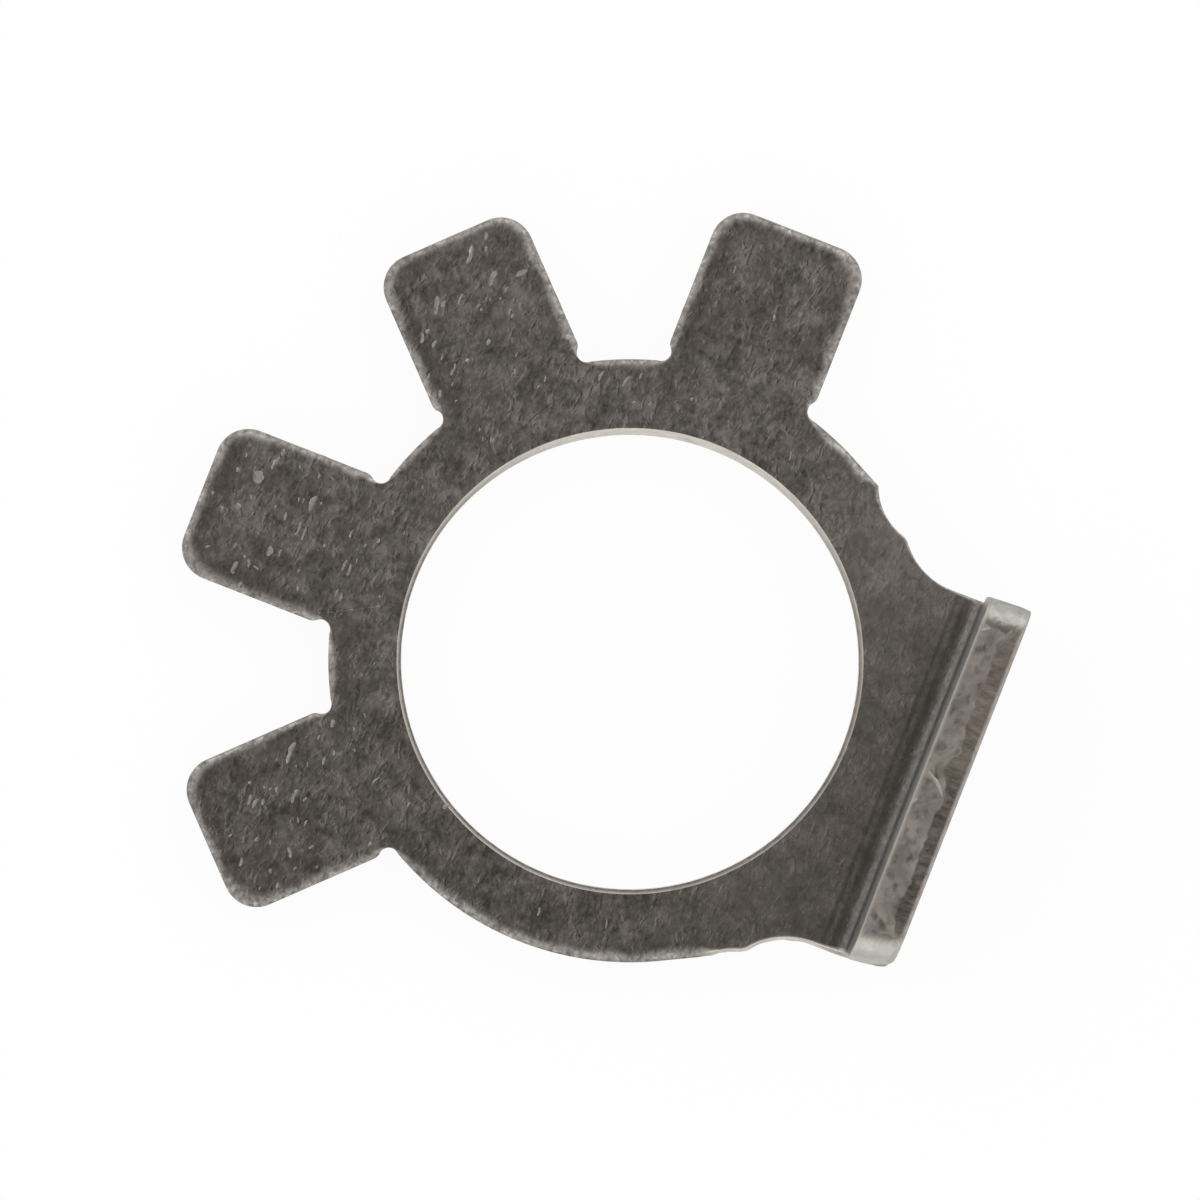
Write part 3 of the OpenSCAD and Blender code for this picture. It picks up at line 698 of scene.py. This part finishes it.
# nicks: lifted flakes and dents from tumbling, nearly all of them lying along Y. For each lock tab, by its
# turn: place out along the tab and across it, length, width, lean off Y in degrees, all in mm as seen on the
# part
nicks = {
    90: [(16.95, -0.42, 0.35, 0.09, 14), (18.35, 2.05, 0.4, 0.06, 4), (19.2, -1.5, 0.3, 0.07, -10),
         (17.5, -1.45, 0.25, 0.07, 8)],
    135: [(14.6, 3.05, 0.42, 0.14, 20), (15.55, 3.2, 0.3, 0.07, 5), (17.25, 2.78, 0.55, 0.12, 12),
          (16.8, 2.4, 0.4, 0.14, -8), (17.45, 2.45, 0.25, 0.12, 0), (16.1, 2.3, 0.35, 0.07, 10),
          (15.3, 2.15, 0.4, 0.09, -4), (15.45, 1.95, 0.35, 0.08, 6), (15.5, 1.3, 0.2, 0.15, 0),
          (18.2, 1.68, 0.55, 0.15, 6), (18.5, 1.52, 0.6, 0.17, 12), (18.3, 1.3, 0.35, 0.12, -6),
          (18.2, 0.5, 0.6, 0.1, -5), (15.88, 0.1, 0.35, 0.1, 3), (19.85, -0.75, 1.0, 0.16, 4),
          (18.5, -1.22, 0.85, 0.17, 0), (20.35, -1.75, 0.4, 0.12, 18), (18.2, -2.55, 0.65, 0.17, -42),
          (17.75, -1.6, 0.35, 0.08, 0), (19.8, -1.5, 0.3, 0.08, 5), (13.3, -1.6, 0.35, 0.08, 6)],
    180: [(13.4, 0.8, 0.65, 0.1, 5), (13.72, 0.7, 0.6, 0.1, -3), (13.3, 2.1, 0.45, 0.09, 4),
          (13.6, 2.0, 0.45, 0.07, 0), (17.1, 1.35, 0.5, 0.2, 2), (16.65, 1.25, 0.4, 0.07, 0),
          (18.36, 2.6, 0.65, 0.13, -6), (17.78, 2.2, 0.4, 0.09, 20), (17.4, 2.25, 0.35, 0.08, 75),
          (17.8, 3.25, 0.3, 0.1, 0), (16.1, -1.4, 0.85, 0.2, -4), (15.95, 0.05, 0.65, 0.09, 0),
          (16.25, -0.1, 0.75, 0.08, 2), (17.0, -0.4, 0.42, 0.1, 6), (18.85, -1.62, 0.65, 0.42, 0),
          (19.2, -0.05, 0.3, 0.2, 10), (18.35, -2.5, 0.75, 0.12, -12), (18.2, -3.05, 0.35, 0.12, 0),
          (13.95, -0.75, 0.42, 0.08, 0), (19.8, -1.6, 0.25, 0.13, 12), (20.5, -0.2, 0.2, 0.1, 0),
          (19.85, 0.3, 0.2, 0.1, 30)],
    225: [(14.2, 2.9, 0.25, 0.1, -20), (18.8, 2.95, 0.3, 0.1, 5), (18.85, 2.2, 0.22, 0.08, 0),
          (17.68, 1.8, 0.55, 0.12, 38), (19.9, 1.3, 0.45, 0.11, 6), (16.5, 0.85, 0.35, 0.08, -8),
          (16.5, -0.5, 0.75, 0.14, 0), (18.25, -0.9, 0.55, 0.13, -10), (18.4, -1.12, 0.55, 0.12, 4),
          (17.9, -0.8, 0.3, 0.1, 15), (18.1, -1.85, 0.16, 0.13, 0), (17.1, -1.1, 0.2, 0.12, 0),
          (14.6, -1.4, 0.45, 0.09, 6), (16.0, -2.2, 0.65, 0.13, 0), (15.7, -2.55, 0.65, 0.2, -6),
          (13.55, -2.8, 0.42, 0.16, 10), (14.4, -2.5, 0.25, 0.09, 0), (16.1, -0.15, 0.3, 0.08, -20)],
    0: [(-5.98, 11.6, 0.6, 0.1, -6), (-4.83, 11.8, 0.65, 0.1, -16), (-4.28, 12.26, 0.35, 0.07, 0),
        (0.32, -12.15, 0.45, 0.08, 6), (3.38, -11.54, 0.55, 0.05, 14), (3.41, 11.36, 0.5, 0.06, 10),
        (-8.81, -9.31, 0.6, 0.06, -25), (-5.41, -9.25, 0.3, 0.12, -35)],
}
# dark scratches: x, y, length, width, lean
scores = [(-7.88, 9.22, 2.7, 0.045, -31), (-9.6, 6.9, 0.9, 0.05, 40), (13.45, 0.9, 0.14, 0.1, 0)]
# scars on the hook's end
endMarks = [(14.3, 7.2, 0.5, 0.09, -59), (14.8, -0.05, 1.5, 0.1, 49), (14.13, -1.1, 0.3, 0.12, -40)]
flake = dict(steps=9, sides=8, tall=0.004, arch=0.1, ragged=0.19, widen=1.6, blunt=0.58, stretch=1.14,
             dust=100, dustSeed=21)


# each nick is a closed lens: along it a runs from -1 to 1 with uneven half width (1 - a^2)^blunt, its axis
# bowed by arch * a^2, and round it the section is an ellipse sunk by half its height, so that only a low dome
# stands out of the sheet
def nickSurface():
    rng = np.random.default_rng(flake["dustSeed"])
    placed = np.array([(turn, *nick) for turn, marks in nicks.items() for nick in marks])
    dust = np.stack([rng.choice((135, 180, 225, 157, 202, 110), flake["dust"]),
                     rng.uniform(11.6, 20.3, flake["dust"]),
                     rng.uniform(-2.9, 2.9, flake["dust"]), rng.uniform(0.12, 0.3, flake["dust"]),
                     rng.uniform(0.04, 0.09, flake["dust"]), rng.normal(0, 22, flake["dust"])], axis=1)
    # off the tabs they lie on the ring
    dust = dust[(np.isin(dust[:, 0], (135, 180, 225))) | (dust[:, 1] < 13.2)]
    scored = np.array([(0, *score) for score in scores])
    ended = np.array([(0, *mark) for mark in endMarks])
    spec = np.vstack([placed, dust, ended, scored])
    ground = np.full(spec.shape[0], washer["sheet"])
    ground[-len(scores) - len(endMarks):-len(scores)] += washer["hookHeight"]
    turn, out, side, long, wide, lean = spec.T
    dark = np.arange(spec.shape[0]) >= spec.shape[0] - len(scores)
    wide = wide * np.where(dark, 1, flake["widen"])
    centre = (out + 1j * side) * np.exp(1j * np.radians(turn))
    way = 1j * np.exp(1j * np.radians(lean))
    bow = flake["arch"] * np.where(lean > 0, 1, -1)                     # each bows to the side it leans to
    a = np.linspace(-1, 1, flake["steps"])
    a[0], a[-1] = -0.995, 0.995
    b = np.linspace(0, 2 * math.pi, flake["sides"], endpoint=False)
    taper = (1 - a ** 2) ** flake["blunt"]
    uneven = rng.normal(size=(spec.shape[0], a.size, b.size))
    uneven = 1 + flake["ragged"] * (uneven + np.roll(uneven, 1, axis=1) + np.roll(uneven, 1, axis=2)) / 1.7
    offset = uneven * (taper[:, None] * np.cos(b)) * (wide / 2)[:, None, None]
    offset = offset + (bow * long)[:, None, None] * (a ** 2)[None, :, None]
    run = (a[None, :, None] * (flake["stretch"] * long / 2)[:, None, None])
    plan = centre[:, None, None] + way[:, None, None] * (run + 1j * offset)
    lift = flake["tall"] * (2 * taper[:, None] * np.sin(b) - 1)
    height = ground[:, None, None] + lift * np.clip(wide / 0.16, 0.5, 1.2)[:, None, None]
    points = np.stack([plan.real, plan.imag, height], axis=-1) * mm
    # painted shadow: a dark side on most nicks, mostly on the same side; the shade attribute also marks the
    # dark scratches
    paintedShadowSide = rng.choice((-1, -1, -1, 1), spec.shape[0])[:, None, None]
    shade = np.clip((np.cos(b) * paintedShadowSide - 0.45) * 2.2, 0, 1)
    polish = np.broadcast_to((ground > washer["sheet"])[:, None, None], height.shape)
    return points, np.broadcast_to(np.maximum(shade * (1 - polish), dark[:, None, None]),
                                   height.shape), polish


def nickPiece():
    points, shade, polish = nickSurface()
    count, steps, sides = shade.shape
    nick, step, side = np.meshgrid(np.arange(count), np.arange(steps - 1), np.arange(sides), indexing="ij")
    base, nextSide = nick * steps * sides, (side + 1) % sides
    quads = np.stack([base + step * sides + side, base + step * sides + nextSide,
                      base + (step + 1) * sides + nextSide, base + (step + 1) * sides + side],
                     axis=-1).reshape(-1, 4)
    first = (np.arange(count) * steps * sides)[:, None] + np.arange(sides)[::-1]
    last = (np.arange(count) * steps * sides + (steps - 1) * sides)[:, None] + np.arange(sides)
    mesh = bpy.data.meshes.new("tumbleNicks")
    mesh.from_pydata(points.reshape(-1, 3), [], quads.tolist() + first.tolist() + last.tolist())
    mesh.polygons.foreach_set("use_smooth", np.ones(len(mesh.polygons), dtype=bool))
    for name, share in (("shade", shade), ("polish", polish)):
        mesh.attributes.new(name, "FLOAT", "POINT").data.foreach_set("value",
                                                                     share.reshape(-1).astype(np.float32))
    piece = bpy.data.objects.new("tumbleNicks", mesh)
    bpy.context.collection.objects.link(piece)
    return piece


# bare mild steel, freshly rubbed: paler and brighter than the dull sheet, a painted shadow along one side and
# dark dirt specks
bare = dict(light="#b5b0a7", shadeAndDirt="#4a4540", polish="#c2bcb3", roughness=0.42)


def bareMaterial():
    material = bpy.data.materials.new("bareSteelRubbed")
    material.use_nodes = True
    tree = material.node_tree
    tree.nodes.clear()
    place = addNode(tree, "TexCoord")
    spots = addNode(tree, "TexNoise", {"Scale": 1 / (0.15 * mm), "Detail": 3.0},
                    {"Vector": place.outputs["Object"]})
    shade = addNode(tree, "Attribute", attribute_name="shade")
    speckled = addNode(tree, "MapRange", {"From Min": 0.42, "From Max": 0.75, "To Max": 0.45},
                       {"Value": spots})
    # the painted shadow side and the dirt specks both darken the bare colour
    shadowAndSpecks = addNode(tree, "Math", None, {0: shade.outputs["Fac"], 1: speckled}, operation="MAXIMUM")
    colour = addNode(tree, "Mix", {6: hexColour(bare["light"]), 7: hexColour(bare["shadeAndDirt"])},
                     {0: shadowAndSpecks}, data_type="RGBA")
    polish = addNode(tree, "Attribute", attribute_name="polish")
    scarred = addNode(tree, "Mix", {7: hexColour(bare["polish"])},
                      {0: polish.outputs["Fac"], 6: colour.outputs[2]},
                      data_type="RGBA")
    relief = addNode(tree, "Bump", {"Strength": 1.0, "Distance": 0.01 * mm}, {"Height": spots})
    shader = addNode(tree, "BsdfPrincipled", {"Metallic": 1.0, "Roughness": bare["roughness"]},
                     {"Base Color": scarred.outputs[2], "Normal": relief})
    addNode(tree, "OutputMaterial", None, {"Surface": shader})
    return material


marks = nickPiece()
marks.data.materials.append(bareMaterial())
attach(marks, "root")
print("nicks laid:", len(marks.data.polygons), "faces")

# stage: white card under the part, lit all round from low down, darker overhead
stage = dict(cardMm=900, cardColour="#f4f4f2", cardShow=0.94, zenith=0.36, horizon=1.35, sky="#ffffff",
             darkTo=0.97, brightFrom=0.66,                        # height in the sky, 1 is straight up
             lean=6, leanTo=291,                     # the dark part lies off straight up, towards this turn
             keyWatts=0.06, fillWatts=0.02)


def whiteCard():
    half = stage["cardMm"] / 2 * mm
    mesh = bpy.data.meshes.new("whiteCard")
    mesh.from_pydata([(-half, -half, -0.00002), (half, -half, -0.00002), (half, half, -0.00002),
                      (-half, half, -0.00002)], [], [(0, 1, 2, 3)])
    card = bpy.data.objects.new("whiteCard", mesh)
    bpy.context.collection.objects.link(card)
    material = bpy.data.materials.new("whiteCardMatt")
    material.use_nodes = True
    tree = material.node_tree
    tree.nodes.clear()
    # seen directly or in the metal it is white, with a share left to its own shading so the shadow stays
    path = addNode(tree, "LightPath")
    seen = addNode(tree, "Math", None, {0: path.outputs["Is Camera Ray"], 1: path.outputs["Is Glossy Ray"]},
                   operation="MAXIMUM")
    seenToo = addNode(tree, "Math", None, {0: seen, 1: path.outputs["Is Transmission Ray"]},
                      operation="MAXIMUM")
    share = addNode(tree, "Math", {1: stage["cardShow"]}, {0: seenToo}, operation="MULTIPLY")
    matt = addNode(tree, "BsdfDiffuse", {"Color": hexColour(stage["cardColour"])})
    white = addNode(tree, "Emission", {"Color": (1, 1, 1, 1), "Strength": 1.0})
    mix = addNode(tree, "MixShader", None, {0: share, 1: matt, 2: white})
    addNode(tree, "OutputMaterial", None, {"Surface": mix})
    mesh.materials.append(material)


def tentLight():
    world = bpy.data.worlds.new("lightTent")
    bpy.context.scene.world = world
    world.use_nodes = True
    tree = world.node_tree
    tree.nodes.clear()
    way = addNode(tree, "TexCoord")
    lean, leanTo = math.radians(stage["lean"]), math.radians(stage["leanTo"])
    darkest = (math.sin(lean) * math.cos(leanTo), math.sin(lean) * math.sin(leanTo), math.cos(lean))
    split = addNode(tree, "VectorMath", {1: darkest}, {0: way.outputs["Generated"]}, operation="DOT_PRODUCT")
    level = addNode(tree, "MapRange", {"From Min": stage["brightFrom"], "From Max": stage["darkTo"],
                                       "To Min": stage["horizon"], "To Max": stage["zenith"]},
                    {"Value": split.outputs["Value"]},
                    interpolation_type="SMOOTHSTEP")
    light = addNode(tree, "Background", {"Color": hexColour(stage["sky"])}, {"Strength": level})
    addNode(tree, "OutputWorld", None, {"Surface": light})


def softBox(name, watts, size, place):
    lamp = bpy.data.lights.new(name, "AREA")
    lamp.energy = watts
    lamp.size = size
    box = bpy.data.objects.new(name, lamp)
    bpy.context.collection.objects.link(box)
    at = np.array(place)
    box.location = at
    away = math.atan2(math.hypot(at[0], at[1]), at[2])
    box.rotation_euler = (away, 0, math.atan2(at[1], at[0]) + math.pi / 2)


whiteCard()
tentLight()
softBox("keyBox", stage["keyWatts"], 0.16, (0.05, 0.27, 0.13))
softBox("fillBox", stage["fillWatts"], 0.2, (0.12, -0.22, 0.14))
print("stage set")

# camera: straight down, turned so that the hook points right and a little down, as in the photo
view = dict(
    photoPx=1200, mmPerPx=0.04555, borePx=(630.0, 660.8),   # bore centre in the photo
    turn=21.4, distance=400.0, sensor=36.0,
)
frameMm = view["photoPx"] * view["mmPerPx"]
turn = math.radians(view["turn"])
# photo centre from the bore, y down
offset = (view["photoPx"] / 2 - np.array(view["borePx"])) * view["mmPerPx"]
right = np.array([math.cos(turn), math.sin(turn)])
up = np.array([-math.sin(turn), math.cos(turn)])
aim = offset[0] * right - offset[1] * up
lens = bpy.data.cameras.new("photoLens")
lens.sensor_width = view["sensor"]
lens.lens = view["sensor"] * view["distance"] / frameMm
lens.clip_start = 0.01
lens.clip_end = 20
camera = bpy.data.objects.new("photoCamera", lens)
bpy.context.collection.objects.link(camera)
camera.location = (aim[0] * mm, aim[1] * mm, (view["distance"] + washer["sheet"]) * mm)
camera.rotation_euler = (0, 0, turn)
bpy.context.scene.camera = camera
bpy.context.scene.view_settings.view_transform = "Standard"
print("camera at", [round(c, 4) for c in camera.location])
